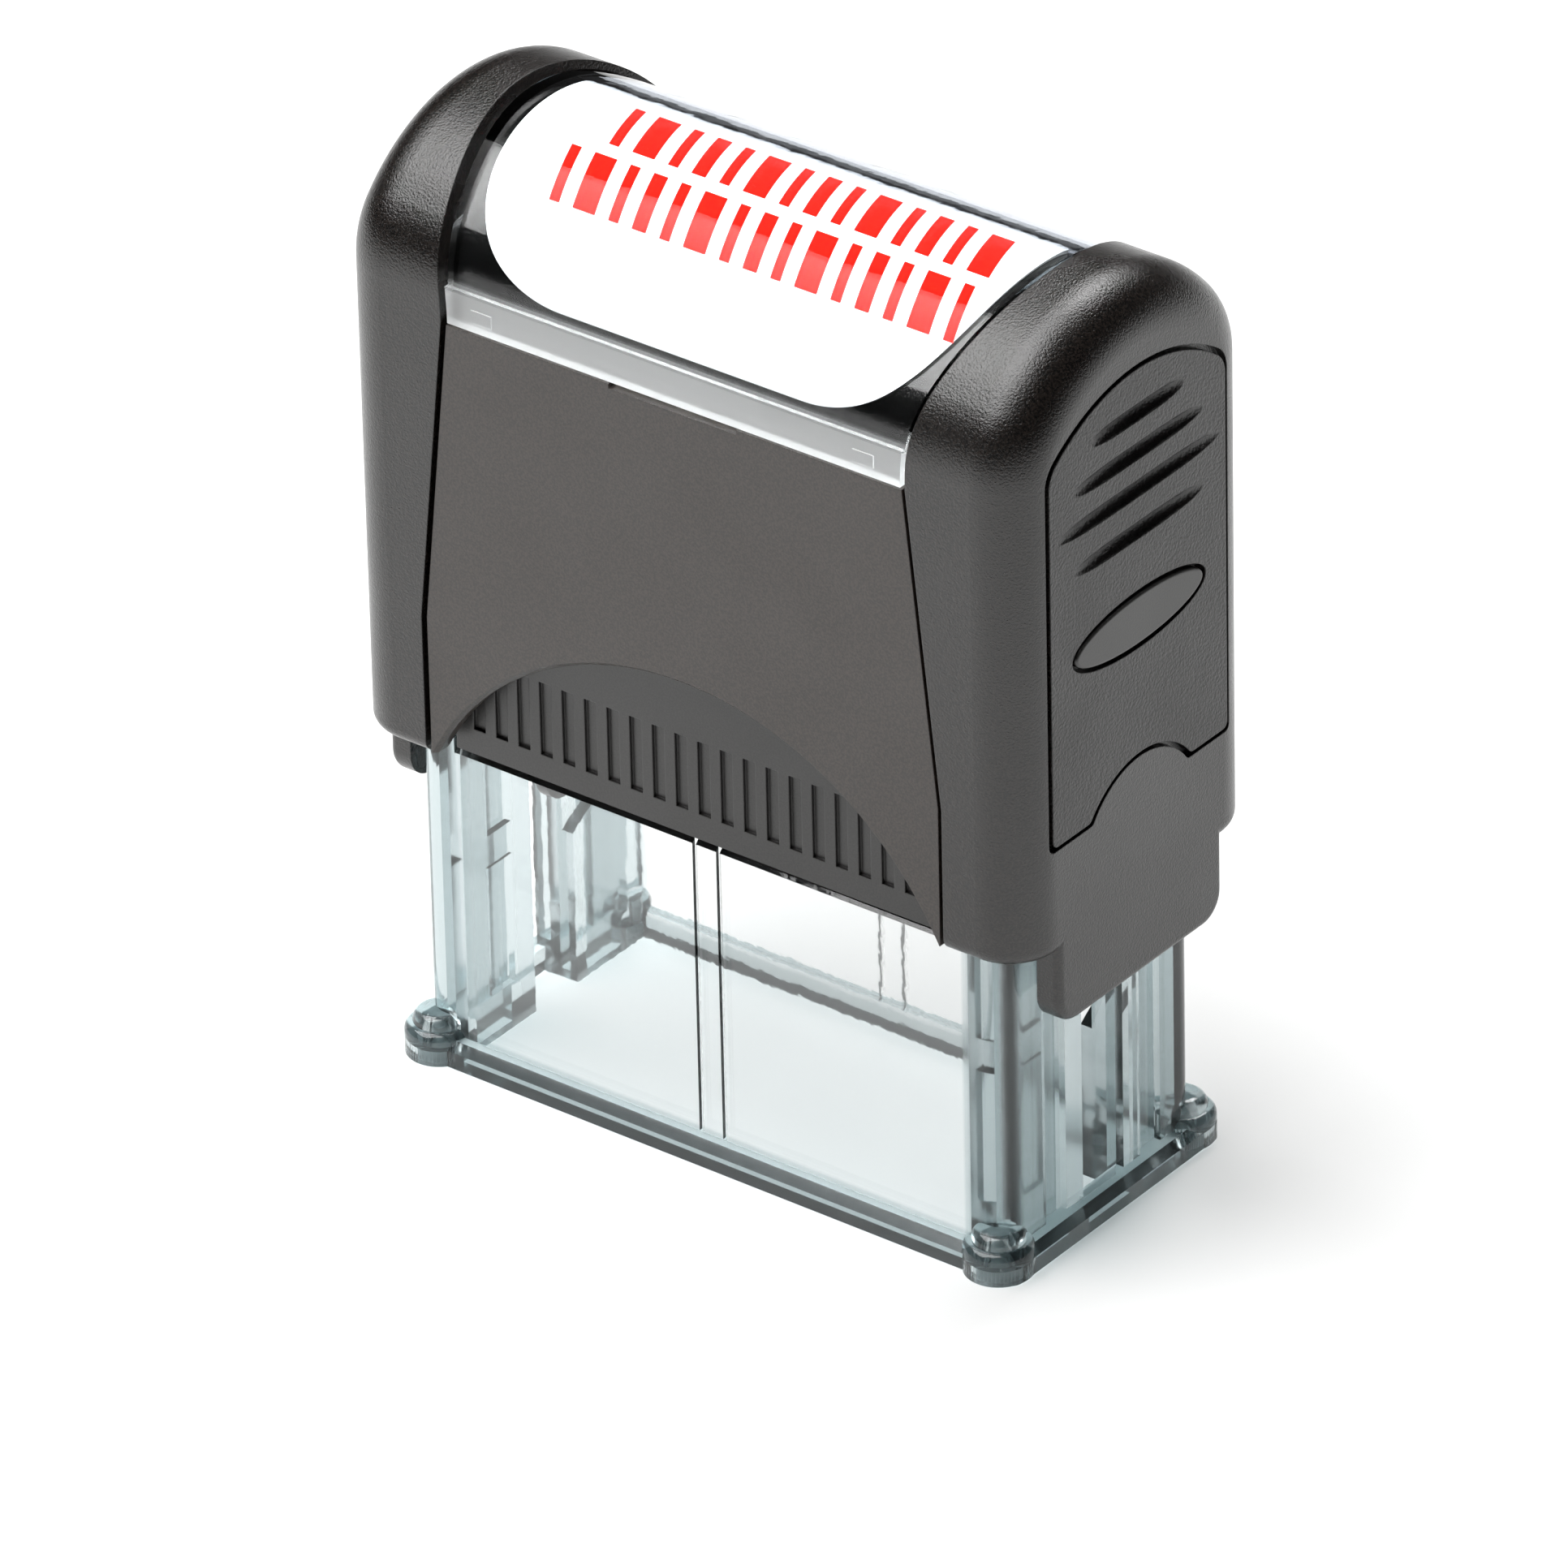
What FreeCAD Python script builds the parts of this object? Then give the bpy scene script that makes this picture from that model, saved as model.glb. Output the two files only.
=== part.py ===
"""Self-inking stamp, in millimetres.

The part stands on its base: +Z is up, X runs along the stamp, -Y is the front.
The origin is the middle of the footprint, on the surface the stamp stands on.
It is drawn with the cap up, so the die faces up against the ink pad.
"""
import FreeCAD, Part
import math
import os

# Text plate and the flip-over mechanism
DIE_LENGTH = 47.0
DIE_WIDTH = 17.0
AXLE_Z = 29.0
FACE_DROP = 6.0
BAR_HEIGHT = 5.3
BAR_LEAN = 1.5
BAR_GAP = 1.3
BAR_RELIEF = 0.8
BAR_WIDTHS = (1.0, 2.2, 1.0, 1.4)
ROW_Y = 3.25
STROKE = 23.0
PIN_ARM = 7.0
AXLE_R = 1.8
AXLE_PLAY = 0.05
GUIDE_PIN_R = 0.9
GUIDE_PLAY = 0.15

# Clear base frame
FRAME_X = 29.3
FRAME_Y = 12.5
FRAME_TOP = 46.0
SKIRT_WALL = 1.1
SKIRT_TOP = 29.3
FLANGE_X = 30.8
FLANGE_Y = 14.0
FLANGE_T = 2.2
CORNER_R = 2.2
GUIDE_X = 25.2
SLOT_Y = 2.7
BOSS_X = 28.0
BOSS_Y = 12.1
BOSS_R = 2.9
BRIDGE_T = 1.6
BRIDGE_Y = 10.4
STRIPE_X = 1.35
STRIPE_GROOVE = 0.35
SPRING_CUP_R = 6.0
SPRING_CUP_H = 2.2
POCKET_X = (26.8, 27.7)
POCKET_Y = (4.9, 10.4)
OUTER_CHANNEL_Y = (4.9, 7.6)
OUTER_CHANNEL_DEPTH = 0.6
INNER_CHANNEL_Y = (-8.2, -5.2)
INNER_CHANNEL_DEPTH = 0.6
STOP_Z = (16.2, 19.2)

# Cap
CAP_X = 33.3
CAP_Y = 15.5
CAP_TOP = 84.2
CROWN_R = 18.0
SHOULDER_R = 8.5
CAP_WALL = 1.7
CAP_FOOT = 30.0
HOOD_FOOT = 30.3
END_ROUND = 4.5
GRIP_GROOVE = 0.4
TONGUE_Y = 10.8
TONGUE_Z = 23.1
SEAM_FOOT_X = 25.4
SEAM_KNEE_Z = 42.8
SEAM_WAIST_X = 22.4
SEAM_WAIST_Z = 70.4
SEAM_CROWN_X = 25.8
SEAM_GAP = 0.45
ARCH_HALF = 24.7
ARCH_RISE = 15.0
ARCH_BEVEL = 0.35

# Depths of the cap's layers, measured in from the end caps' outer face
HOOD_INSET = 0.15
WINDOW_INSET = 0.55
WINDOW_T = 1.2
CARD_T = 0.2
BED_INSET = 2.05
BED_T = 0.65

# Index card
CARD_X = 24.3
CARD_LOW = 73.9
CARD_REAR = 5.8
CARD_CORNER = 12.5
CARD_REAR_CORNER = 3.5

# Grip insert and its oval badge
GRIP_SIDE = 11.4
GRIP_LOW = 40.0
GRIP_DEPTH = 0.8
BADGE_Z = 55.3
BADGE_HALF_WIDTH = 8.3
BADGE_HALF_HEIGHT = 2.2
SCOOPS = ((73.6, 5.8), (70.2, 8.2), (66.9, 10.2), (63.2, 8.1))

# Ink cartridge
CARTRIDGE_X = 24.9
PAD_GAP = 0.2
PAD_X = 23.8
PAD_Y = 9.3
PAD_T = 3.5
RIB_PITCH = 2.25
RIB_SLOTS = 21
RIB_SLOT_WIDTH = 1.2
RIB_SLOT_DEPTH = 0.32
RIB_SLOT_Z = (31.8, 38.5)

# Return spring
SPRING_WIRE = 0.7
SPRING_R = 3.9
SPRING_TURNS = 9

CROSSBAR_Z = 77.0
YOKE_X0 = 29.6
YOKE_X1 = 30.8
EPS = 0.01


def vec(x, y, z):
    return FreeCAD.Vector(x, y, z)


def block(x0, x1, y0, y1, z0, z1):
    return Part.makeBox(x1 - x0, y1 - y0, z1 - z0, vec(x0, y0, z0))


def rod_x(radius, x0, x1, y, z):
    return Part.makeCylinder(radius, x1 - x0, vec(x0, y, z), vec(1, 0, 0))


def rod_z(radius, z0, z1, x, y):
    return Part.makeCylinder(radius, z1 - z0, vec(x, y, z0))


def flip_x(shape):
    return shape.mirror(vec(0, 0, 0), vec(1, 0, 0))


def flip_y(shape):
    return shape.mirror(vec(0, 0, 0), vec(0, 1, 0))


def both_x(shape):
    return shape.fuse(flip_x(shape))


def both_y(shape):
    return shape.fuse(flip_y(shape))


def in_four(shape):
    return both_x(both_y(shape))


def extrude(edges, direction):
    return Part.Face(Part.Wire(edges)).extrude(direction)


def polygon(points):
    closed = points + points[:1]
    return [Part.LineSegment(a, b).toShape() for a, b in zip(closed, closed[1:])]


def edges_where(shape, test):
    return [edge for edge in shape.Edges if test(edge.BoundBox)]


def export(shape, node):
    clean = shape.removeSplitter()
    solids = clean.Solids
    whole = solids[0] if len(solids) == 1 else Part.makeCompound(solids)
    whole.exportStep("parts/" + node + ".step")
    print(node, "solids", len(solids), "valid", whole.isValid(), "volume", round(whole.Volume, 1))


# ---------------------------------------------------------------- cap outline

def arch(inset, foot, x0, x1):
    """A bar along X whose section is the cap's: upright sides, round shoulders, a crown."""
    half = CAP_Y - inset
    shoulder = SHOULDER_R - inset
    crown = CROWN_R - inset
    centre_y = CAP_Y - SHOULDER_R
    crown_z = CAP_TOP - CROWN_R
    shoulder_z = crown_z + math.sqrt((CROWN_R - SHOULDER_R) ** 2 - centre_y ** 2)
    join = math.atan2(shoulder_z - crown_z, centre_y)
    middle = join / 2

    def shoulder_point(side, angle):
        y = centre_y + shoulder * math.cos(angle)
        return vec(x0, side * y, shoulder_z + shoulder * math.sin(angle))

    top = vec(x0, 0, crown_z + crown)
    right = [shoulder_point(1, a) for a in (0, middle, join)]
    left = [shoulder_point(-1, a) for a in (join, middle, 0)]
    foot_right = vec(x0, half, foot)
    foot_left = vec(x0, -half, foot)
    edges = [
        Part.LineSegment(foot_left, foot_right).toShape(),
        Part.LineSegment(foot_right, right[0]).toShape(),
        Part.Arc(*right).toShape(),
        Part.Arc(right[2], top, left[0]).toShape(),
        Part.Arc(*left).toShape(),
        Part.LineSegment(left[2], foot_left).toShape(),
    ]
    return extrude(edges, vec(x1 - x0, 0, 0))


def between_seams(gap):
    """Everything between the two seams: straight foot, a waist, then a flare over the crown."""
    reach = 2 * CAP_Y
    rise = CAP_TOP - SEAM_WAIST_Z
    flare = SEAM_CROWN_X - SEAM_WAIST_X
    flare_r = (flare ** 2 + rise ** 2) / (2 * flare)
    half_angle = math.asin(rise / flare_r) / 2
    mid_x = SEAM_WAIST_X + flare_r * (1 - math.cos(half_angle))
    mid_z = SEAM_WAIST_Z + flare_r * math.sin(half_angle)
    low = TONGUE_Z - 5
    high = CAP_TOP + 5

    def at(side, x, z):
        return vec(side * (x - gap), -reach, z)

    def line(a, b):
        return Part.LineSegment(a, b).toShape()

    def side_edges(side):
        foot = at(side, SEAM_FOOT_X, low)
        knee = at(side, SEAM_FOOT_X, SEAM_KNEE_Z)
        waist = at(side, SEAM_WAIST_X, SEAM_WAIST_Z)
        crown = at(side, SEAM_CROWN_X, CAP_TOP)
        curve = Part.Arc(waist, at(side, mid_x, mid_z), crown).toShape()
        return [line(foot, knee), line(knee, waist), curve, line(crown, at(side, SEAM_CROWN_X, high))]

    closing = [
        line(at(1, SEAM_CROWN_X, high), at(-1, SEAM_CROWN_X, high)),
        line(at(-1, SEAM_FOOT_X, low), at(1, SEAM_FOOT_X, low)),
    ]
    edges = Part.__sortEdges__(side_edges(1) + side_edges(-1) + closing)
    return extrude(edges, vec(0, 2 * reach, 0))


# ---------------------------------------------------------------- clear base

def flange():
    plate = block(-FLANGE_X, FLANGE_X, -FLANGE_Y, FLANGE_Y, 0, FLANGE_T)
    upright = edges_where(plate, lambda b: b.ZLength > 1)
    plate = plate.makeFillet(1.2, upright)
    rim = edges_where(plate, lambda b: b.ZMin > FLANGE_T - EPS)
    return plate.makeChamfer(0.7, rim)


def foot_boss():
    body = rod_z(BOSS_R, 0, 2.8, BOSS_X, -BOSS_Y)
    dome = rod_z(2.2, 2.0, 3.9, BOSS_X, -BOSS_Y)
    dome = dome.makeFillet(1.0, edges_where(dome, lambda b: b.ZMin > 3.9 - EPS))
    body = body.makeFillet(0.8, edges_where(body, lambda b: b.ZMin > 2.8 - EPS))
    return body.fuse(dome)


def end_column():
    """One corner of the frame: post, outer channel, pocket and the inner guide plate."""
    body = block(GUIDE_X, FRAME_X, SLOT_Y, FRAME_Y, 0, FRAME_TOP)
    corner = edges_where(body, lambda b: b.ZLength > 1 and b.XMin > FRAME_X - EPS and b.YMin > FRAME_Y - EPS)
    body = body.makeFillet(CORNER_R, corner)
    channel = block(FRAME_X - OUTER_CHANNEL_DEPTH, FRAME_X + 1, *OUTER_CHANNEL_Y, FLANGE_T, FRAME_TOP + 1)
    pocket = block(*POCKET_X, *POCKET_Y, -1, FRAME_TOP - BRIDGE_T)
    return body.cut(channel).cut(pocket)


def guide_groove():
    """The track of the carrier's guide pin: out to one side as the plate turns over, and back."""
    half = GUIDE_PIN_R + GUIDE_PLAY
    drop = STROKE / math.pi
    steps = 36
    outline = []
    for i in range(steps + 1):
        angle = math.pi * i / steps
        y = PIN_ARM * math.sin(angle)
        z = AXLE_Z - drop * angle - PIN_ARM * math.cos(angle)
        dy = PIN_ARM * math.cos(angle)
        dz = PIN_ARM * math.sin(angle) - drop
        length = math.hypot(dy, dz)
        outline.append(vec(GUIDE_X - 1, y - dz * half / length, z + dy * half / length))
    curve = Part.BSplineCurve()
    curve.interpolate(outline)
    edges = [curve.toShape(), Part.LineSegment(outline[-1], outline[0]).toShape()]
    return extrude(edges, vec(2.1, 0, 0))


def base_frame():
    body = flange()
    wall = block(-GUIDE_X, GUIDE_X, FRAME_Y - SKIRT_WALL, FRAME_Y, 0, SKIRT_TOP)
    lip = edges_where(wall, lambda b: b.ZMin > SKIRT_TOP - EPS and b.XLength > 1 and b.YMin > FRAME_Y - EPS)
    wall = wall.makeChamfer(0.4, lip)
    groove_y = FRAME_Y - STRIPE_GROOVE
    groove = block(STRIPE_X - STRIPE_GROOVE, STRIPE_X, groove_y, FRAME_Y + 1, FLANGE_T, SKIRT_TOP + 1)
    body = body.fuse(both_y(wall.cut(both_x(groove))))
    opening = block(-GUIDE_X, GUIDE_X, -FRAME_Y + SKIRT_WALL, FRAME_Y - SKIRT_WALL, -1, FLANGE_T + 1)
    end_way = block(GUIDE_X - 1, FRAME_X - 0.8, -SLOT_Y, SLOT_Y, -1, FLANGE_T + 1)
    body = body.cut(opening).cut(both_x(end_way))
    body = body.fuse(in_four(end_column()))
    pocket_mouth = block(*POCKET_X, *POCKET_Y, -1, FLANGE_T + 1)
    body = body.cut(in_four(pocket_mouth))
    slot_roof = block(GUIDE_X, POCKET_X[0], -SLOT_Y, SLOT_Y, AXLE_Z + AXLE_R + 0.3, FRAME_TOP)
    bridge = block(-FRAME_X + 1, FRAME_X - 1, -BRIDGE_Y, BRIDGE_Y, FRAME_TOP - BRIDGE_T, FRAME_TOP)
    cup = rod_z(SPRING_CUP_R, FRAME_TOP - EPS, FRAME_TOP + SPRING_CUP_H, 0, 0)
    cup = cup.cut(rod_z(SPRING_CUP_R - 1.2, FRAME_TOP, FRAME_TOP + SPRING_CUP_H + 1, 0, 0))
    body = body.fuse([both_x(slot_roof), bridge, cup, in_four(foot_boss())])
    channel = block(GUIDE_X - 1, GUIDE_X + INNER_CHANNEL_DEPTH, *INNER_CHANNEL_Y, FLANGE_T + 2, SKIRT_TOP)
    stop = block(GUIDE_X, GUIDE_X + 1, *INNER_CHANNEL_Y, *STOP_Z)
    body = body.cut(both_x(channel)).fuse(both_x(stop))
    body = body.cut(both_x(guide_groove()))
    seat = rod_z(1.9, -1, 1.0, BOSS_X, -BOSS_Y).fuse(rod_z(0.9, 0, 3.0, BOSS_X, -BOSS_Y))
    return body.cut(in_four(seat))


def anti_slip_feet():
    disc = rod_z(1.9, 0, 1.0, BOSS_X, -BOSS_Y)
    stem = rod_z(0.9, 0.9, 3.0, BOSS_X, -BOSS_Y)
    return in_four(disc.fuse(stem))


# ---------------------------------------------------------------- inking

def rib_slots(face_y):
    slots = []
    for i in range(RIB_SLOTS):
        x = (i - (RIB_SLOTS - 1) / 2) * RIB_PITCH
        half = RIB_SLOT_WIDTH / 2
        slots.append(block(x - half, x + half, face_y - RIB_SLOT_DEPTH, face_y + 1, *RIB_SLOT_Z))
    return slots[0].fuse(slots[1:])


def ink_cartridge():
    pad_z = AXLE_Z + FACE_DROP + PAD_GAP
    tray = block(-CARTRIDGE_X, CARTRIDGE_X, -10.6, 10.6, pad_z - 0.6, FRAME_TOP - BRIDGE_T - 0.2)
    room_x = PAD_X + 0.1
    room_y = PAD_Y + 0.1
    pad_room = block(-room_x, room_x, -room_y, room_y, pad_z - 1, pad_z + PAD_T)
    reservoir = block(-23.4, 23.4, -8.8, 8.8, pad_z + 5, FRAME_TOP)
    front = block(-CARTRIDGE_X, CARTRIDGE_X, -FRAME_Y, -10.6, SKIRT_TOP + 0.2, FRAME_TOP - 0.2)
    rear = block(-CARTRIDGE_X, CARTRIDGE_X, 10.6, FRAME_Y, SKIRT_TOP + 0.2, FRAME_TOP - BRIDGE_T - 0.2)
    body = tray.cut(pad_room).cut(reservoir).fuse([front, rear])
    slots = rib_slots(FRAME_Y)
    return body.cut(slots).cut(flip_y(slots))


def ink_pad():
    pad_z = AXLE_Z + FACE_DROP + PAD_GAP
    return block(-PAD_X, PAD_X, -PAD_Y, PAD_Y, pad_z, pad_z + PAD_T)


# ---------------------------------------------------------------- text plate

def carrier_end():
    inner = 23.6
    outer = GUIDE_X - 0.4
    width = vec(outer - inner, 0, 0)
    plate_top = AXLE_Z + 3.4
    web = extrude(polygon([
        vec(inner, -7.6, plate_top),
        vec(inner, 7.6, plate_top),
        vec(inner, 7.6, plate_top - 1.5),
        vec(inner, 3.2, AXLE_Z - 1),
        vec(inner, -3.2, AXLE_Z - 1),
        vec(inner, -7.6, plate_top - 1.5),
    ]), width)
    hub = rod_x(3.2, inner, outer, 0, AXLE_Z)
    arm = block(inner, outer, -2.2, 2.2, AXLE_Z - PIN_ARM, AXLE_Z)
    lobe = rod_x(2.4, inner, outer, 0, AXLE_Z - PIN_ARM)
    pin = rod_x(GUIDE_PIN_R, outer - EPS, GUIDE_X + 0.9, 0, AXLE_Z - PIN_ARM)
    return web.fuse([hub, arm, lobe, pin])


def plate_carrier():
    outer = GUIDE_X - 0.4
    plate = block(-outer, outer, -8.4, 8.4, AXLE_Z + 1.9, AXLE_Z + 3.4)
    spine = block(-outer, outer, -0.8, 0.8, AXLE_Z - 2.4, AXLE_Z + 2)
    ribs = [block(x - 0.5, x + 0.5, -6.5, 6.5, AXLE_Z - 0.4, AXLE_Z + 2) for x in (-16, -8, 0, 8, 16)]
    body = plate.fuse([spine, both_x(carrier_end())] + ribs)
    socket = rod_x(1.2, outer - 3.0, outer + 1, 0, AXLE_Z)
    return body.cut(both_x(socket))


def axle_journal():
    """Right-hand axle stub: a shank pressed into the carrier and a journal outside it."""
    shank = rod_x(1.2, GUIDE_X - 3.4, GUIDE_X - 0.4, 0, AXLE_Z)
    journal = rod_x(AXLE_R, GUIDE_X - 0.4, YOKE_X1 - 0.2, 0, AXLE_Z)
    end = edges_where(journal, lambda b: b.XMin > YOKE_X1 - 0.2 - EPS)
    return shank.fuse(journal.makeChamfer(0.3, end))


def mounting_foam():
    return block(-23.4, 23.4, -8.4, 8.4, AXLE_Z + 3.4, AXLE_Z + 4.4)


def die_bar(x, y, width, z):
    """One slanted raised bar, its left edge at x on the row's centre line."""
    half = BAR_HEIGHT / 2
    lean = BAR_LEAN / 2
    corners = [
        vec(x - lean, y - half, z),
        vec(x + width - lean, y - half, z),
        vec(x + width + lean, y + half, z),
        vec(x + lean, y + half, z),
    ]
    return extrude(polygon(corners), vec(0, 0, BAR_RELIEF))


def text_plate():
    """Rubber die: a base slab with raised slanted bars in two rows in place of a message."""
    half_x = DIE_LENGTH / 2
    half_y = DIE_WIDTH / 2
    base_top = AXLE_Z + FACE_DROP - BAR_RELIEF
    slab = block(-half_x, half_x, -half_y, half_y, AXLE_Z + 4.4, base_top)
    bars = []
    for row_y, count in ((ROW_Y, 15), (-ROW_Y, 14)):
        widths = [BAR_WIDTHS[i % len(BAR_WIDTHS)] for i in range(count)]
        x = -(sum(widths) + BAR_GAP * (count - 1)) / 2
        for width in widths:
            bars.append(die_bar(x, row_y, width, base_top))
            x += width + BAR_GAP
    return slab.fuse(bars)


# ---------------------------------------------------------------- yoke and spring

def yoke():
    bar = block(-YOKE_X1, YOKE_X1, -5.5, 5.5, CROSSBAR_Z, CAP_TOP)
    bar = bar.common(arch(BED_INSET + BED_T, CAP_FOOT, -CAP_X, CAP_X))
    lighten = block(9, YOKE_X0 - 2, -4.0, 4.0, CROSSBAR_Z + 1.4, CAP_TOP)
    bar = bar.cut(both_x(lighten))
    leg = extrude(polygon([
        vec(YOKE_X0, -5.5, CROSSBAR_Z + 1),
        vec(YOKE_X0, 5.5, CROSSBAR_Z + 1),
        vec(YOKE_X0, 3.0, AXLE_Z),
        vec(YOKE_X0, -3.0, AXLE_Z),
    ]), vec(YOKE_X1 - YOKE_X0, 0, 0))
    leg = leg.fuse(rod_x(3.0, YOKE_X0, YOKE_X1, 0, AXLE_Z))
    leg = leg.cut(rod_x(AXLE_R + AXLE_PLAY, YOKE_X0 - 1, YOKE_X1 + 1, 0, AXLE_Z))
    post = rod_z(3.0, CROSSBAR_Z - 7.2, CROSSBAR_Z + 1, 0, 0)
    post = post.makeChamfer(0.6, edges_where(post, lambda b: b.ZMax < CROSSBAR_Z - 7))
    return bar.fuse([both_x(leg), post])


def return_spring():
    """Coil spring of half turns, each a half ring tilted to climb; the end turns lie closed."""
    clear = 0.05
    z = FRAME_TOP + SPRING_WIRE / 2 + clear
    height = CROSSBAR_Z - FRAME_TOP - SPRING_WIRE - 2 * clear
    closed_rise = SPRING_WIRE + clear
    open_rise = (height - 2 * closed_rise) / (SPRING_TURNS - 2)
    halves = []
    side = 1
    for i in range(2 * SPRING_TURNS):
        at_end = i < 2 or i >= 2 * SPRING_TURNS - 2
        rise = (closed_rise if at_end else open_rise) / 2
        start = vec(side * SPRING_R, 0, z)
        centre = vec(0, 0, z + rise / 2)
        heading = vec(0, side, 0)
        disc = Part.Face(Part.Wire(Part.makeCircle(SPRING_WIRE / 2, start, vec(0, 1, 0))))
        halves.append(disc.revolve(centre, (start - centre).cross(heading), 180))
        z += rise
        side = -side
    return halves[0].fuse(halves[1:])


# ---------------------------------------------------------------- cap

def arch_radius():
    return (ARCH_HALF ** 2 + ARCH_RISE ** 2) / (2 * ARCH_RISE)


def arch_cut(radius_extra):
    """The round-headed opening cut up from the hood's lower edge, front and rear."""
    radius = arch_radius()
    centre_z = HOOD_FOOT + ARCH_RISE - radius
    return Part.makeCylinder(radius + radius_extra, 4 * CAP_Y, vec(0, -2 * CAP_Y, centre_z), vec(0, 1, 0))


def arch_bevel():
    """A cone that takes the sharp edge off the front of the arch."""
    radius = arch_radius()
    outside = 1.0
    start = vec(0, -CAP_Y + HOOD_INSET - outside, HOOD_FOOT + ARCH_RISE - radius)
    return Part.makeCone(radius + outside + ARCH_BEVEL, radius, outside + ARCH_BEVEL, start, vec(0, 1, 0))


def hood():
    """Front and rear panels, the bed under the window and a lap under each end cap."""
    skin = arch(HOOD_INSET, HOOD_FOOT, -CAP_X, CAP_X)
    hollow = arch(HOOD_INSET + 1.6, CAP_FOOT - 1, -CAP_X - 1, CAP_X + 1)
    roof = block(-2 * CAP_X, 2 * CAP_X, -2 * CAP_Y, 2 * CAP_Y, SEAM_WAIST_Z - 0.2, CAP_TOP + 1)
    panels = skin.cut(hollow).cut(roof).common(between_seams(SEAM_GAP / 2))
    lap_x = SEAM_FOOT_X + 2.0
    bed = arch(BED_INSET, SKIRT_TOP + 2, -lap_x, lap_x)
    bed = bed.cut(arch(BED_INSET + BED_T, SKIRT_TOP - 1, -lap_x - 1, lap_x + 1))
    lap_join = arch(HOOD_INSET + 1.6, SKIRT_TOP + 2, -SEAM_WAIST_X + 1, SEAM_WAIST_X - 1)
    lap_join = lap_join.cut(arch(BED_INSET + 0.5, SKIRT_TOP - 1, -CAP_X, CAP_X)).cut(roof)
    lap_relief = arch_cut(0.6)
    panels = panels.cut(arch_cut(0)).cut(both_y(arch_bevel()))
    body = panels.fuse(bed.fuse(lap_join).cut(lap_relief))
    notch = block(-6.2, 6.2, -CAP_Y - 1, -CAP_Y + 1.2, SEAM_WAIST_Z - 0.6, SEAM_WAIST_Z)
    return body.cut(notch)


def grip_outline(margin, x0, x1):
    """The insert's outline on the end face: arched top, square shoulders, a humped foot."""
    side = GRIP_SIDE + margin
    low = GRIP_LOW - margin
    hump_y = 6.6 - margin
    hump_z = 43.3 - margin
    shoulder_z = 73.0 + margin
    top_z = 77.4 + margin

    def at(y, z):
        return vec(x0, y, z)

    edges = [
        Part.LineSegment(at(-side, low), at(-side, shoulder_z)).toShape(),
        Part.Arc(at(-side, shoulder_z), at(0, top_z), at(side, shoulder_z)).toShape(),
        Part.LineSegment(at(side, shoulder_z), at(side, low)).toShape(),
        Part.LineSegment(at(side, low), at(hump_y, low)).toShape(),
        Part.Arc(at(hump_y, low), at(0, hump_z), at(-hump_y, low)).toShape(),
        Part.LineSegment(at(-hump_y, low), at(-side, low)).toShape(),
    ]
    solid = extrude(edges, vec(x1 - x0, 0, 0))
    high = edges_where(solid, lambda b: b.XLength > 0.3 and b.ZMin > shoulder_z - 1)
    solid = solid.makeFillet(2.4 + margin, high)
    low_edges = edges_where(solid, lambda b: b.XLength > 0.3 and b.ZMax < low + 1)
    return solid.makeFillet(0.6, low_edges)


def oval(margin, x0, x1):
    centre = vec(x0, 0, BADGE_Z)
    long_end = centre + vec(0, BADGE_HALF_WIDTH + margin, 0)
    short_end = centre + vec(0, 0, BADGE_HALF_HEIGHT + margin)
    curve = Part.Ellipse(long_end, short_end, centre)
    return extrude([curve.toShape()], vec(x1 - x0, 0, 0))


def end_cap():
    """Right-hand end cap."""
    body = arch(0, CAP_FOOT, 20.0, CAP_X)
    rim = edges_where(body, lambda b: b.XMin > CAP_X - EPS and b.ZMax > CAP_FOOT + 1)
    body = body.makeFillet(END_ROUND, rim)
    foot = edges_where(body, lambda b: b.ZMax < CAP_FOOT + EPS)
    body = body.makeFillet(1.3, foot)
    hollow = arch(CAP_WALL, CAP_FOOT - 5, 10.0, CAP_X - CAP_WALL)
    inner_rim = edges_where(hollow, lambda b: b.XMin > CAP_X - CAP_WALL - EPS and b.ZMax > CAP_FOOT)
    hollow = hollow.makeFillet(END_ROUND - 1.2, inner_rim)
    body = body.cut(hollow).cut(between_seams(-SEAM_GAP / 2))
    tongue = block(YOKE_X1 + 0.3, CAP_X, -TONGUE_Y, TONGUE_Y, TONGUE_Z, CAP_FOOT + 6)
    corners = edges_where(tongue, lambda b: b.XLength > 1 and b.ZMax < TONGUE_Z + EPS)
    tongue = tongue.makeFillet(2.5, corners)
    outer = edges_where(tongue, lambda b: b.XMin > CAP_X - EPS)
    rounded = [edge for edge in outer if edge.BoundBox.ZMax < CAP_FOOT + 5 or edge.BoundBox.ZMin < CAP_FOOT]
    tongue = tongue.makeFillet(0.7, rounded)
    body = body.fuse(tongue)
    pocket = grip_outline(GRIP_GROOVE, CAP_X - GRIP_DEPTH, CAP_X + 1)
    return body.cut(pocket)


def scoop(z, half_length):
    """A lens-shaped finger groove: a ring that dips into the end face."""
    depth = 0.75
    tube = 0.8
    bow = half_length ** 2 / (2 * depth)
    centre_x = CAP_X + tube - depth + bow
    ring = Part.makeTorus(bow, tube, vec(centre_x, 0, z), vec(0, 0, 1))
    near = block(CAP_X - 2, CAP_X + 2, -CAP_Y, CAP_Y, z - 2, z + 2)
    return ring.common(near)


def grip_insert():
    body = grip_outline(0, CAP_X - GRIP_DEPTH, CAP_X + 0.05)
    for z, half_length in SCOOPS:
        body = body.cut(scoop(z, half_length))
    return body.cut(oval(GRIP_GROOVE, CAP_X - 1, CAP_X + 1))


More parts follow.
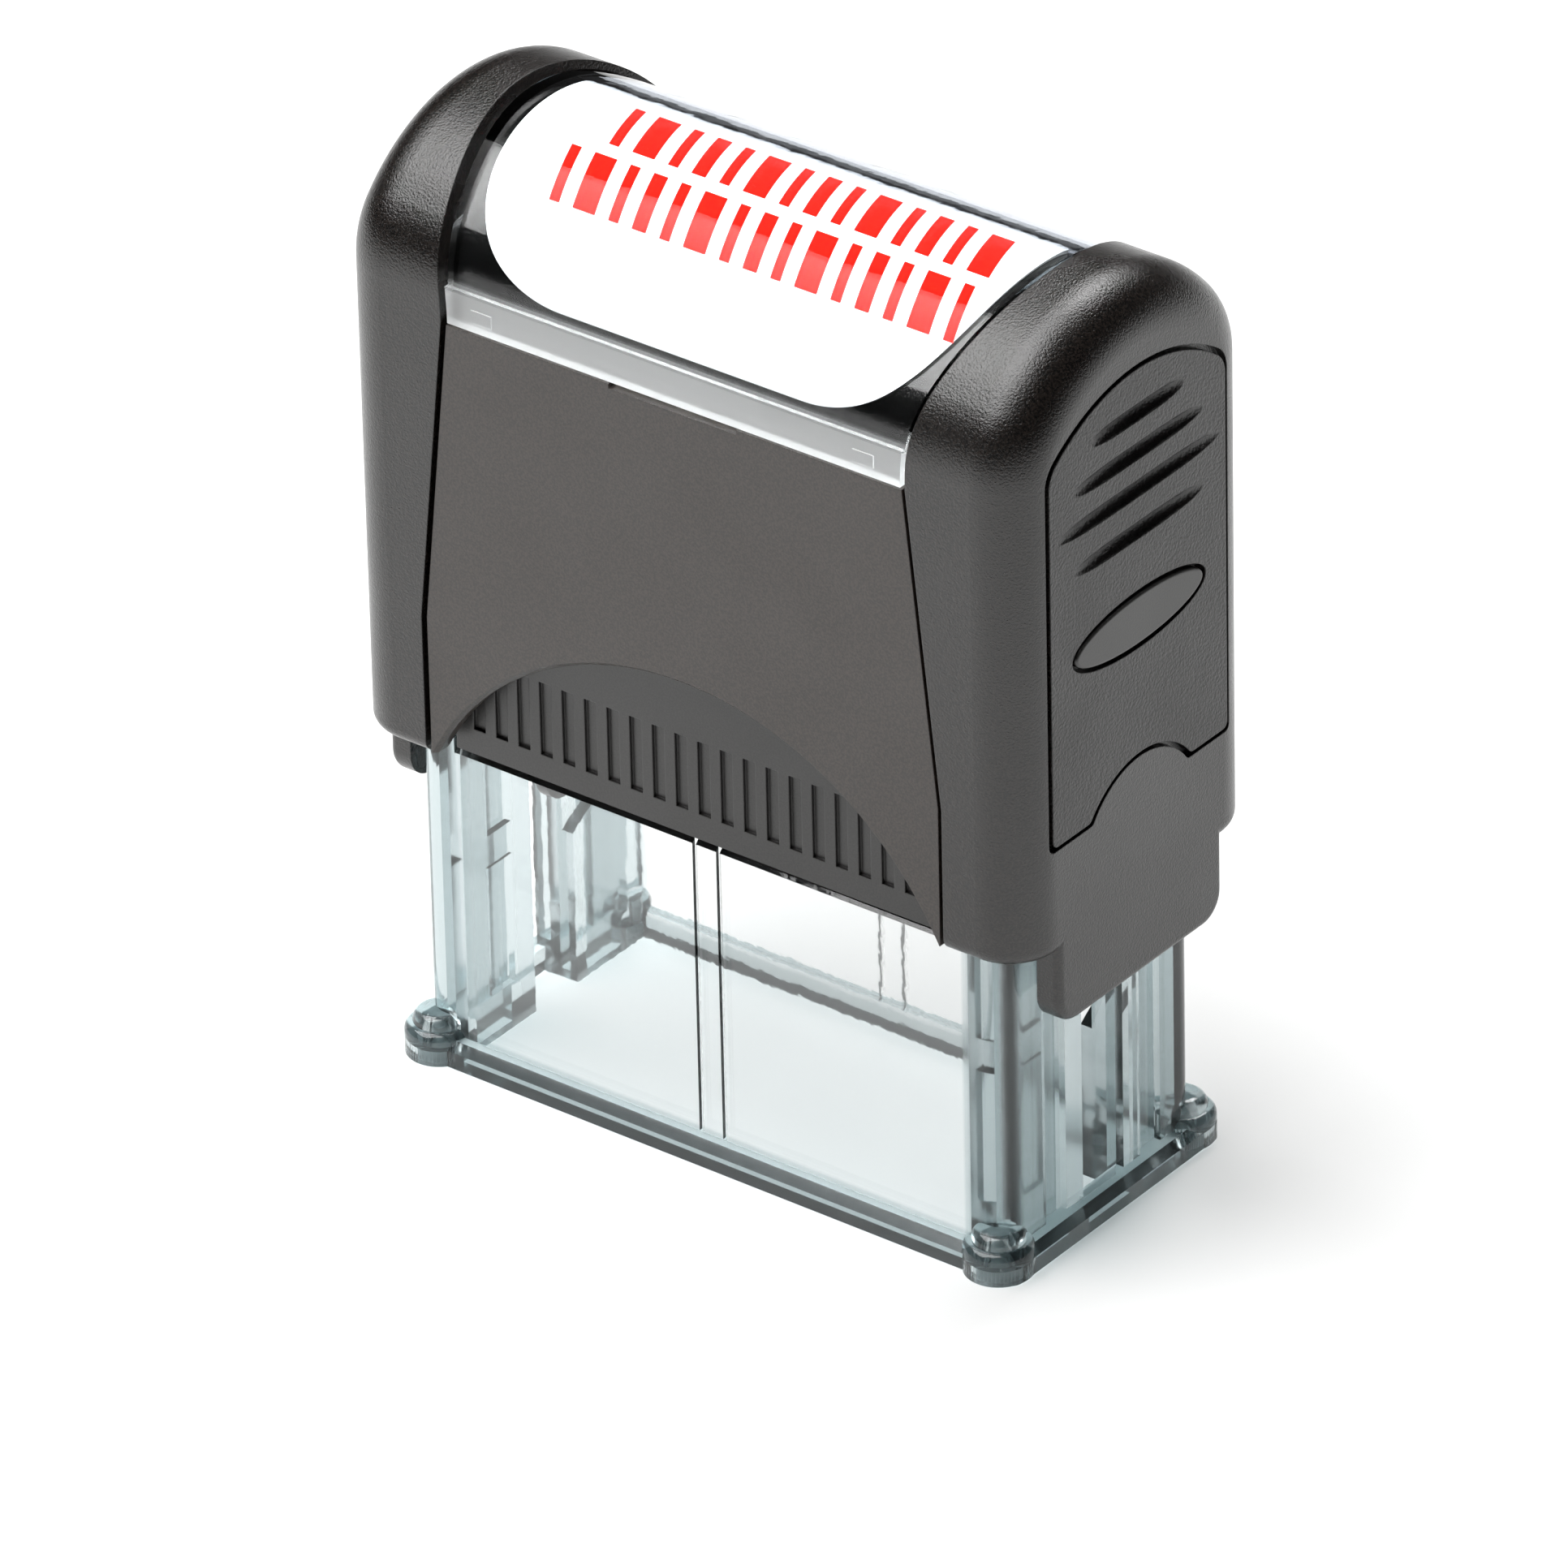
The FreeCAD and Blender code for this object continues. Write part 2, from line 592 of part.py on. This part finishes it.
def oval_badge():
    badge = oval(0, CAP_X - GRIP_DEPTH, CAP_X + 0.15)
    rim = edges_where(badge, lambda b: b.XMin > CAP_X)
    return badge.makeFillet(0.25, rim)


# ---------------------------------------------------------------- window and card

def card_outline():
    """Front elevation of the card: flat lower edge between two large round corners."""
    half = CARD_X
    corner = CARD_CORNER
    low = CARD_LOW
    high = CAP_TOP + 2
    arc_z = low + corner
    lean = corner * math.sqrt(0.5)
    inner = half - corner

    def at(x, z):
        return vec(x, -2 * CAP_Y, z)

    def line(a, b):
        return Part.LineSegment(a, b).toShape()

    edges = [
        line(at(-inner, low), at(inner, low)),
        Part.Arc(at(inner, low), at(inner + lean, arc_z - lean), at(half, arc_z)).toShape(),
        line(at(half, arc_z), at(half, high + 2)),
        line(at(half, high + 2), at(-half, high + 2)),
        line(at(-half, high + 2), at(-half, arc_z)),
        Part.Arc(at(-half, arc_z), at(-inner - lean, arc_z - lean), at(-inner, low)).toShape(),
    ]
    return extrude(edges, vec(0, 4 * CAP_Y, 0))


def index_card():
    inset = WINDOW_INSET + WINDOW_T + 0.05
    sheet = arch(inset, 60, -CAP_X, CAP_X).cut(arch(inset + CARD_T, 59, -CAP_X - 1, CAP_X + 1))
    plan = block(-CARD_X, CARD_X, -2 * CAP_Y, CARD_REAR, 60, CAP_TOP + 1)
    rear = edges_where(plan, lambda b: b.ZLength > 1 and b.YMin > CARD_REAR - EPS)
    return sheet.common(card_outline()).common(plan.makeFillet(CARD_REAR_CORNER, rear))


def index_window():
    foot = SEAM_WAIST_Z
    inner = arch(WINDOW_INSET + WINDOW_T, foot - 1, -CAP_X - 1, CAP_X + 1)
    pane = arch(WINDOW_INSET, foot, -CAP_X, CAP_X)
    above = block(-CAP_X, CAP_X, -CAP_Y, CAP_Y, foot + 3.2, CAP_TOP)
    rim = arch(HOOD_INSET, foot, -CAP_X, CAP_X).cut(above)
    body = pane.fuse(rim).cut(inner)
    catch_y = CAP_Y - HOOD_INSET
    catch = block(17.6, 19.6, -catch_y - 0.12, -catch_y + 0.5, foot + 0.9, foot + 2.0)
    body = body.fuse(in_four(catch))
    return body.common(between_seams(SEAM_GAP / 2 + 0.1))


def main():
    os.makedirs("parts", exist_ok=True)
    export(base_frame(), "base_frame")
    export(anti_slip_feet(), "anti_slip_feet")
    export(ink_cartridge(), "ink_cartridge")
    export(ink_pad(), "ink_pad")
    export(plate_carrier(), "plate_carrier")
    export(mounting_foam(), "mounting_foam")
    export(text_plate(), "text_plate")
    export(yoke(), "yoke")
    export(return_spring(), "return_spring")
    export(hood(), "hood")
    export(index_card(), "index_card")
    export(index_window(), "index_window")
    right_pieces = {
        "axle_journal": axle_journal(),
        "end_cap": end_cap(),
        "grip_insert": grip_insert(),
        "oval_badge": oval_badge(),
    }
    for name, shape in right_pieces.items():
        export(shape, "right_" + name)
        export(flip_x(shape), "left_" + name)


main()
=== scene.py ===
"""Self-inking stamp: the studio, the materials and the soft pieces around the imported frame.

Everything is in metres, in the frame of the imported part: +Z up, X along the stamp, -Y its front.
"""
import math

import bmesh
import bpy
from mathutils import Matrix, Vector


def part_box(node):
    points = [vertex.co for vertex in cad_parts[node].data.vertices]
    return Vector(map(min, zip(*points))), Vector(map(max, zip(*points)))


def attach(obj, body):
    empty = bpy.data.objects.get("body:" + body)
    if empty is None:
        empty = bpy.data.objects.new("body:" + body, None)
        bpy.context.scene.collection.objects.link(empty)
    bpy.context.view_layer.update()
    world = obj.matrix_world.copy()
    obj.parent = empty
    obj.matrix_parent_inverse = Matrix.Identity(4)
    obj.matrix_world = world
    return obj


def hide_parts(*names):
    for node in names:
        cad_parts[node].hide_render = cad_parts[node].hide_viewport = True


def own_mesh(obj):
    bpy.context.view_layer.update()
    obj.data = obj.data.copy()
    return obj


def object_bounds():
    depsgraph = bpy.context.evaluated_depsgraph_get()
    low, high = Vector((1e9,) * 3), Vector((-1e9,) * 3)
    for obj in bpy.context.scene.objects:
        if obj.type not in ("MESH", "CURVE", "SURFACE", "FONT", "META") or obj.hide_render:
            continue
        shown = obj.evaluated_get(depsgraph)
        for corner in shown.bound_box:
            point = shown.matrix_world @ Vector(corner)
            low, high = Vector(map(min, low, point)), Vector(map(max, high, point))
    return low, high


MM = 0.001

# Camera, as seen from the front right and above
VIEW_AZIMUTH = math.radians(38.0)
VIEW_ELEVATION = math.radians(31.1)
VIEW_ROLL = math.radians(-1.3)
VIEW_DISTANCE = 1.277
VIEW_LENS = 372.7
AIM_FROM_CENTRE = Vector((2.75, -5.85, -9.6)) * MM

# Black plastic and rubber
PLASTIC_IOR = 1.6
GRIP_SPECULAR = 0.4
BED_COLOUR = (0.002, 0.002, 0.002, 1)
BED_ROUGHNESS = (0.12, 0.12, 0.12, 1)

# Clear plastic
CLEAR_IOR = 1.49
SHADOW_TINT = (0.80, 0.83, 0.835, 1)
BODY_TINT = (0.42, 0.52, 0.54, 1)
WHITE = (1.0, 1.0, 1.0)
# Painted shade, in part: a darker tint for the thick columns and flange, beyond what their thickness
# gives
THICK_PART_SHADE_TINT = (0.60, 0.66, 0.67)
# Painted shade: a grey-blue tint on the window toward its rear, where the card under it looks shaded
REAR_SHADE_TINT = (0.58, 0.62, 0.69)
REAR_SHADE_Y = (1 * MM, 8 * MM)
FLANGE_HEIGHT = 2.3 * MM
RIM_HEIGHT = 3.2 * MM
# Painted light: the rim lets less light through, so its white shows as a pale band standing in for light
# caught in the rim
RIM_PAINTED_LIGHT_TRANSMISSION = 0.83

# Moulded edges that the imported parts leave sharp
EDGE_EASE = 0.15 * MM

# Studio
FLOOR_SIZE = 1.6
FLOOR_DROP = 0.1 * MM

# Red print on the card: what the die's raised bars print
CARD_CROWN_RADIUS = 16.2 * MM
PRINT_LIFT = 0.02 * MM
PRINT_X = 2.2 * MM
PRINT_S = -3.3 * MM
RAISED_FACE = 0.05 * MM

# Return spring
WIRE_RADIUS = 0.35 * MM
SPRING_TURNS = 9
END_TURN_PITCH = 1.1 * 2 * WIRE_RADIUS
POINTS_PER_TURN = 32


# ---------------------------------------------------------------- node helpers

def add(tree, kind, **values):
    """A new node with its properties and input values set."""
    made = tree.nodes.new("ShaderNode" + kind)
    for key, value in values.items():
        socket = made.inputs.get(key)
        if socket is not None:
            socket.default_value = value
        else:
            setattr(made, key, value)
    return made


def link(tree, output, socket):
    tree.links.new(output, socket)


def shader_material(name):
    material = bpy.data.materials.new(name)
    material.use_nodes = True
    tree = material.node_tree
    shader = tree.nodes["Principled BSDF"]
    return material, tree, shader


def noise(tree, size, detail=2.0, roughness=0.5):
    """Noise over the piece's own coordinates, with features about size metres wide."""
    place = add(tree, "TexCoord")
    pattern = add(tree, "TexNoise", Scale=1.0 / size, Detail=detail, Roughness=roughness)
    link(tree, place.outputs["Object"], pattern.inputs["Vector"])
    return pattern.outputs["Fac"]


def spread(tree, value, low, high, start=0.3, end=0.7):
    """Turns a 0 to 1 pattern into a range of values."""
    ranged = add(tree, "MapRange")
    ranged.inputs["From Min"].default_value = start
    ranged.inputs["From Max"].default_value = end
    ranged.inputs["To Min"].default_value = low
    ranged.inputs["To Max"].default_value = high
    link(tree, value, ranged.inputs["Value"])
    return ranged.outputs["Result"]


def shades(tree, value, dark, light, start=0.3, end=0.7):
    """A colour between two shades, chosen by a pattern."""
    ramp = add(tree, "ValToRGB")
    ramp.color_ramp.elements[0].position = start
    ramp.color_ramp.elements[0].color = (*dark, 1)
    ramp.color_ramp.elements[1].position = end
    ramp.color_ramp.elements[1].color = (*light, 1)
    link(tree, value, ramp.inputs["Fac"])
    return ramp.outputs["Color"]


def bump(tree, height, depth, shader, edge_radius=0.0):
    """Relief of that depth on a piece whose sharp edges look eased by edge_radius."""
    relief = add(tree, "Bump", Strength=1.0, Distance=depth)
    link(tree, height, relief.inputs["Height"])
    if edge_radius:
        eased = add(tree, "Bevel", samples=4, Radius=edge_radius)
        link(tree, eased.outputs["Normal"], relief.inputs["Normal"])
    link(tree, relief.outputs["Normal"], shader.inputs["Normal"])


# ---------------------------------------------------------------- materials

def moulded_plastic(name, colour, contrast, roughness, grain, depth):
    """Black injection-moulded plastic with the fine grain of a spark-eroded mould."""
    material, tree, shader = shader_material(name)
    speckle = noise(tree, grain, detail=2.0, roughness=0.6)
    dark = [c * (1 - contrast) for c in colour]
    light = [c * (1 + contrast) for c in colour]
    link(tree, shades(tree, speckle, dark, light, 0.4, 0.62), shader.inputs["Base Color"])
    handled = noise(tree, 9 * MM)
    link(tree, spread(tree, handled, roughness - 0.04, roughness + 0.04), shader.inputs["Roughness"])
    bump(tree, speckle, depth, shader, EDGE_EASE)
    shader.inputs["IOR"].default_value = PLASTIC_IOR
    return material


def polish_bed(hood):
    """The hood's bed, under the window, is polished and deep black."""
    tree = hood.node_tree
    shader = tree.nodes["Principled BSDF"]
    window_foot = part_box("index_window")[0].z
    bed = beyond(tree, coordinate(tree, "Z"), window_foot + 0.1 * MM, 0.1 * MM)
    for name, polished in (("Base Color", BED_COLOUR), ("Roughness", BED_ROUGHNESS)):
        usual = shader.inputs[name].links[0].from_socket
        mix = add(tree, "Mix", data_type="RGBA")
        link(tree, bed, mix.inputs[0])
        link(tree, usual, mix.inputs[6])
        mix.inputs[7].default_value = polished
        link(tree, mix.outputs[2], shader.inputs[name])


def coordinate(tree, axis):
    """A point's coordinate along one axis of the piece, in metres."""
    place = add(tree, "TexCoord")
    split = add(tree, "SeparateXYZ")
    link(tree, place.outputs["Object"], split.inputs["Vector"])
    return split.outputs[axis]


def beyond(tree, value, edge, soft=0.3 * MM):
    """1 where a value is over an edge, else 0."""
    return spread(tree, value, 0.0, 1.0, edge, edge + soft)


def below(tree, value, edge, soft=0.3 * MM):
    """1 where a value is under an edge, else 0."""
    return spread(tree, value, 1.0, 0.0, edge - soft, edge)


def off_centre(tree, axis):
    distance = add(tree, "Math", operation="ABSOLUTE")
    link(tree, coordinate(tree, axis), distance.inputs[0])
    return distance.outputs["Value"]


def greater(tree, first, second):
    larger = add(tree, "Math", operation="MAXIMUM")
    link(tree, first, larger.inputs[0])
    link(tree, second, larger.inputs[1])
    return larger.outputs["Value"]


def clear_plastic(name, tints, roughnesses, gloss, density, patterns):
    """Clear plastic whose tint and polish each follow a pattern, the tint being painted shade; lamps
    shine through it.
    """
    material, tree, shader = shader_material(name)
    painted_shade, dull = patterns(tree)
    link(tree, shades(tree, painted_shade, *tints, 0.0, 1.0), shader.inputs["Base Color"])
    link(tree, spread(tree, dull, *roughnesses, 0.0, 1.0), shader.inputs["Roughness"])
    shader.inputs["Transmission Weight"].default_value = 1.0
    shader.inputs["Specular Tint"].default_value = (gloss, gloss, gloss, 1)
    shader.inputs["IOR"].default_value = CLEAR_IOR
    bump(tree, noise(tree, 3 * MM, detail=3.0), 0.01 * MM, shader)
    path = add(tree, "LightPath")
    passing = add(tree, "BsdfTransparent", Color=SHADOW_TINT)
    mix = add(tree, "MixShader")
    link(tree, path.outputs["Is Shadow Ray"], mix.inputs[0])
    link(tree, shader.outputs["BSDF"], mix.inputs[1])
    link(tree, passing.outputs["BSDF"], mix.inputs[2])
    out = tree.nodes["Material Output"]
    link(tree, mix.outputs["Shader"], out.inputs["Surface"])
    body = add(tree, "VolumeAbsorption", Color=BODY_TINT, Density=density)
    link(tree, body.outputs["Volume"], out.inputs["Volume"])
    return material


def base_plastic():
    """Polished walls; the columns and the flange are duller, and tinted darker partly for their thickness
    and partly as painted shade.
    """
    guide_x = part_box("ink_cartridge")[1].x
    flange_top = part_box("base_frame")[0].z + FLANGE_HEIGHT

    def patterns(tree):
        columns = beyond(tree, off_centre(tree, "X"), guide_x)
        flange = below(tree, coordinate(tree, "Z"), flange_top)
        # The columns and flange are duller, and painted shade tints them darker
        dull_and_shaded = greater(tree, columns, flange)
        return dull_and_shaded, dull_and_shaded

    tints = (WHITE, THICK_PART_SHADE_TINT)
    return clear_plastic("clear_plastic", tints, (0.03, 0.12), 1.0, 55, patterns)


def window_plastic():
    """Polished all over but for the rim it is held by; painted shade tints it grey-blue toward the rear,
    and painted light makes the rim a pale band.
    """
    rim_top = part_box("index_window")[0].z + RIM_HEIGHT

    def patterns(tree):
        # Painted shade: the grey-blue tint grows toward the window's rear
        painted_shade = spread(tree, coordinate(tree, "Y"), 0.0, 1.0, *REAR_SHADE_Y)
        return painted_shade, below(tree, coordinate(tree, "Z"), rim_top)

    tints = (WHITE, REAR_SHADE_TINT)
    window = clear_plastic("window_plastic", tints, (0.015, 0.35), 0.04, 20, patterns)
    tree = window.node_tree
    shader = tree.nodes["Principled BSDF"]
    # Painted light: the rim's lower transmission makes it a pale band
    rim_painted_light = below(tree, coordinate(tree, "Z"), rim_top)
    passed = spread(tree, rim_painted_light, 1.0, RIM_PAINTED_LIGHT_TRANSMISSION, 0.0, 1.0)
    link(tree, passed, shader.inputs["Transmission Weight"])
    return window


def card_paper():
    material, tree, shader = shader_material("card_paper")
    fibres = noise(tree, 0.25 * MM, detail=5.0, roughness=0.7)
    link(tree, shades(tree, fibres, (0.86, 0.87, 0.89), (0.93, 0.94, 0.95)), shader.inputs["Base Color"])
    shader.inputs["Roughness"].default_value = 0.65
    bump(tree, fibres, 0.004 * MM, shader)
    return material


def print_ink():
    material, tree, shader = shader_material("print_ink")
    cover = noise(tree, 0.4 * MM, detail=4.0)
    link(tree, shades(tree, cover, (0.9, 0.003, 0.0), (1.0, 0.006, 0.0)), shader.inputs["Base Color"])
    shader.inputs["Roughness"].default_value = 0.9
    shader.inputs["Specular IOR Level"].default_value = 0.1
    return material


def ink_felt():
    material, tree, shader = shader_material("ink_felt")
    fibres = noise(tree, 0.5 * MM, detail=6.0, roughness=0.75)
    soaked = shades(tree, fibres, (0.12, 0.002, 0.002), (0.45, 0.012, 0.01))
    link(tree, soaked, shader.inputs["Base Color"])
    shader.inputs["Roughness"].default_value = 0.8
    shader.inputs["Sheen Weight"].default_value = 0.2
    bump(tree, fibres, 0.2 * MM, shader)
    return material


def die_rubber():
    material, tree, shader = shader_material("die_rubber")
    stain = noise(tree, 1.5 * MM, detail=5.0, roughness=0.6)
    link(tree, shades(tree, stain, (0.25, 0.012, 0.01), (0.5, 0.05, 0.04)), shader.inputs["Base Color"])
    shader.inputs["Roughness"].default_value = 0.45
    bump(tree, noise(tree, 0.12 * MM), 0.01 * MM, shader)
    return material


def foam():
    material, tree, shader = shader_material("foam")
    place = add(tree, "TexCoord")
    cells = add(tree, "TexVoronoi", Scale=1.0 / (0.35 * MM))
    link(tree, place.outputs["Object"], cells.inputs["Vector"])
    distance = cells.outputs["Distance"]
    cream = shades(tree, distance, (0.5, 0.49, 0.45), (0.8, 0.79, 0.75), 0.1, 0.6)
    link(tree, cream, shader.inputs["Base Color"])
    shader.inputs["Roughness"].default_value = 0.9
    bump(tree, distance, 0.1 * MM, shader)
    return material


def foot_rubber():
    material, tree, shader = shader_material("foot_rubber")
    cloud = noise(tree, 0.8 * MM, detail=3.0)
    link(tree, shades(tree, cloud, (0.55, 0.6, 0.61), (0.72, 0.77, 0.78)), shader.inputs["Base Color"])
    shader.inputs["Transmission Weight"].default_value = 0.6
    shader.inputs["Roughness"].default_value = 0.35
    shader.inputs["IOR"].default_value = 1.45
    return material


def spring_steel():
    material, tree, shader = shader_material("spring_steel")
    drawn = noise(tree, 0.6 * MM, detail=4.0)
    link(tree, shades(tree, drawn, (0.5, 0.5, 0.51), (0.68, 0.68, 0.7)), shader.inputs["Base Color"])
    link(tree, spread(tree, drawn, 0.22, 0.38), shader.inputs["Roughness"])
    shader.inputs["Metallic"].default_value = 1.0
    return material


def finish_cad_nodes(nodes):
    """Each CAD node keeps its shape and gets its finish."""
    end_cap_black = (0.0075, 0.0055, 0.0045)
    grip_black = (0.0050, 0.0035, 0.0030)
    inner_black = (0.02, 0.02, 0.02)
    end_cap = moulded_plastic("end_cap_plastic", end_cap_black, 0.9, 0.27, 0.19 * MM, 0.055 * MM)
    grip = moulded_plastic("grip_rubber", grip_black, 0.95, 0.34, 0.26 * MM, 0.1 * MM)
    grip.node_tree.nodes["Principled BSDF"].inputs["Specular IOR Level"].default_value = GRIP_SPECULAR
    badge = moulded_plastic("badge_plastic", (0.014, 0.013, 0.012), 0.3, 0.35, 0.15 * MM, 0.01 * MM)
    journal = moulded_plastic("journal_plastic", inner_black, 0.3, 0.3, 0.15 * MM, 0.002 * MM)
    hood = moulded_plastic("cap_plastic", (0.025, 0.018, 0.014), 0.4, 0.36, 0.2 * MM, 0.02 * MM)
    polish_bed(hood)
    cartridge_black = (0.012, 0.011, 0.010)
    cartridge = moulded_plastic("cartridge_plastic", cartridge_black, 0.4, 0.38, 0.16 * MM, 0.01 * MM)
    finishes = {
        "base_frame": base_plastic(),
        "index_window": window_plastic(),
        "anti_slip_feet": foot_rubber(),
        "hood": hood,
        "ink_cartridge": cartridge,
        "plate_carrier": moulded_plastic("carrier_plastic", inner_black, 0.3, 0.4, 0.15 * MM, 0.006 * MM),
        "yoke": moulded_plastic("inner_plastic", inner_black, 0.3, 0.4, 0.15 * MM, 0.006 * MM),
        "ink_pad": ink_felt(),
        "mounting_foam": foam(),
        "text_plate": die_rubber(),
        "index_card": card_paper(),
    }
    for side in ("left_", "right_"):
        finishes[side + "end_cap"] = end_cap
        finishes[side + "grip_insert"] = grip
        finishes[side + "oval_badge"] = badge
        finishes[side + "axle_journal"] = journal
    for name, material in finishes.items():
        for slot in nodes[name].material_slots:
            slot.material = material


# ---------------------------------------------------------------- studio

def view_axes():
    back = Vector((
        math.sin(VIEW_AZIMUTH) * math.cos(VIEW_ELEVATION),
        -math.cos(VIEW_AZIMUTH) * math.cos(VIEW_ELEVATION),
        math.sin(VIEW_ELEVATION),
    ))
    level_right = Vector((math.cos(VIEW_AZIMUTH), math.sin(VIEW_AZIMUTH), 0))
    level_up = back.cross(level_right)
    right = math.cos(VIEW_ROLL) * level_right + math.sin(VIEW_ROLL) * level_up
    return right, back.cross(right), back


def add_camera(centre):
    camera = bpy.data.objects.new("camera", bpy.data.cameras.new("camera"))
    bpy.context.scene.collection.objects.link(camera)
    right, up, back = view_axes()
    turn = Matrix((right, up, back)).transposed().to_4x4()
    camera.matrix_world = Matrix.Translation(centre + AIM_FROM_CENTRE + back * VIEW_DISTANCE) @ turn
    camera.data.lens = VIEW_LENS
    camera.data.clip_start = 0.05
    camera.data.clip_end = 20
    bpy.context.scene.camera = camera


def add_floor():
    mesh = bpy.data.meshes.new("floor")
    half = FLOOR_SIZE / 2
    corners = [(-half, -half, 0), (half, -half, 0), (half, half, 0), (-half, half, 0)]
    mesh.from_pydata(corners, [], [(0, 1, 2, 3)])
    floor = bpy.data.objects.new("floor", mesh)
    bpy.context.scene.collection.objects.link(floor)
    floor.location.z = -FLOOR_DROP
    material, tree, shader = shader_material("floor")
    cloud = noise(tree, 0.2, detail=1.0)
    pale = shades(tree, cloud, (0.82, 0.825, 0.82), (0.85, 0.85, 0.845))
    link(tree, pale, shader.inputs["Base Color"])
    shader.inputs["Roughness"].default_value = 0.8
    shader.inputs["Specular IOR Level"].default_value = 0.2
    mesh.materials.append(material)


def softbox(name, direction, distance, width, height, power, target):
    lamp = bpy.data.lights.new(name, "AREA")
    lamp.shape = "RECTANGLE"
    lamp.size = width
    lamp.size_y = height
    lamp.energy = power
    box = bpy.data.objects.new(name, lamp)
    bpy.context.scene.collection.objects.link(box)
    box.location = target + Vector(direction).normalized() * distance
    box.rotation_euler = Vector(direction).to_track_quat("Z", "Y").to_euler()


def light_studio(centre):
    """A dark room with a large softbox overhead and a smaller one behind, both a little to the left."""
    world = bpy.data.worlds.new("studio")
    world.use_nodes = True
    world.node_tree.nodes["Background"].inputs["Color"].default_value = (0.03, 0.03, 0.03, 1)
    bpy.context.scene.world = world
    softbox("overhead_softbox", (-0.30, -0.24, 0.92), 0.95, 0.9, 0.9, 17, centre)
    softbox("back_softbox", (-0.12, 0.58, 0.81), 1.2, 0.55, 0.55, 10, centre)
    bpy.context.scene.view_settings.view_transform = "Standard"
    bpy.context.scene.view_settings.look = "None"


# ---------------------------------------------------------------- pieces made here

def link_piece(name, mesh, material, body):
    piece = bpy.data.objects.new(name, mesh)
    bpy.context.scene.collection.objects.link(piece)
    mesh.materials.append(material)
    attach(piece, body)
    return piece


def card_point(x, s):
    """The point of the card's face at x, and at a distance s round its crown from the top."""
    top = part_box("index_card")[1].z
    angle = s / CARD_CROWN_RADIUS
    radius = CARD_CROWN_RADIUS + PRINT_LIFT
    return (x, radius * math.sin(angle), top - CARD_CROWN_RADIUS + radius * math.cos(angle))


def add_print(die):
    """The card's print: the die's raised faces turned over and laid on the card's curve."""
    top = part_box("text_plate")[1].z
    build = bmesh.new()
    build.from_mesh(die.data)
    build.transform(die.matrix_world)
    rest = [face for face in build.faces if min(v.co.z for v in face.verts) < top - RAISED_FACE]
    bmesh.ops.delete(build, geom=rest, context="FACES")
    half = round(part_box("text_plate")[1].y / MM)
    for step in range(-half, half + 1):
        everything = build.verts[:] + build.edges[:] + build.faces[:]
        bmesh.ops.bisect_plane(build, geom=everything, plane_co=(0, step * MM, 0), plane_no=(0, 1, 0))
    for vert in build.verts:
        vert.co = card_point(vert.co.x + PRINT_X, PRINT_S - vert.co.y)
    bmesh.ops.reverse_faces(build, faces=build.faces[:])
    mesh = bpy.data.meshes.new("card_print")
    build.to_mesh(mesh)
    build.free()
    link_piece("card_print", mesh, print_ink(), "cap")


def add_spring():
    """The return spring as one helical wire with its end turns closed up."""
    low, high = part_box("return_spring")
    radius = (high.x - low.x) / 2 - WIRE_RADIUS
    open_pitch = (high.z - low.z - 2 * WIRE_RADIUS - 2 * END_TURN_PITCH) / (SPRING_TURNS - 2)
    curve = bpy.data.curves.new("return_coil", "CURVE")
    curve.dimensions = "3D"
    curve.bevel_depth = WIRE_RADIUS
    curve.bevel_resolution = 3
    curve.use_fill_caps = True
    line = curve.splines.new("POLY")
    count = SPRING_TURNS * POINTS_PER_TURN
    line.points.add(count)
    z = low.z + WIRE_RADIUS
    for i, point in enumerate(line.points):
        angle = 2 * math.pi * i / POINTS_PER_TURN
        point.co = (radius * math.cos(angle), radius * math.sin(angle), z, 1)
        at_end = i < POINTS_PER_TURN or i >= count - POINTS_PER_TURN
        z += (END_TURN_PITCH if at_end else open_pitch) / POINTS_PER_TURN
    wire = bpy.data.objects.new("wire", curve)
    bpy.context.scene.collection.objects.link(wire)
    bpy.context.view_layer.update()
    mesh = bpy.data.meshes.new_from_object(wire)
    bpy.data.objects.remove(wire)
    mesh.shade_smooth()
    spring = link_piece("return_coil", mesh, spring_steel(), "frame")
    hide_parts("return_spring")
    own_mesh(spring)


# ---------------------------------------------------------------- build

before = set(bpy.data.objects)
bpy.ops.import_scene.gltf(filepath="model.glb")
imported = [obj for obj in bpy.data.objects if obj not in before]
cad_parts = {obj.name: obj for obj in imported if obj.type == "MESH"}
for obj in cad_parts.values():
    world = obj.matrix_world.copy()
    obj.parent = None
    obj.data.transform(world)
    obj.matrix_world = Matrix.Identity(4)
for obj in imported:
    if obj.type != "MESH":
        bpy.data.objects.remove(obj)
cad_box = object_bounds()
low, high = cad_box
middle = (Vector(low) + Vector(high)) / 2
add_camera(middle)
add_floor()
light_studio(middle)
finish_cad_nodes(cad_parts)
add_print(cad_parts["text_plate"])
add_spring()
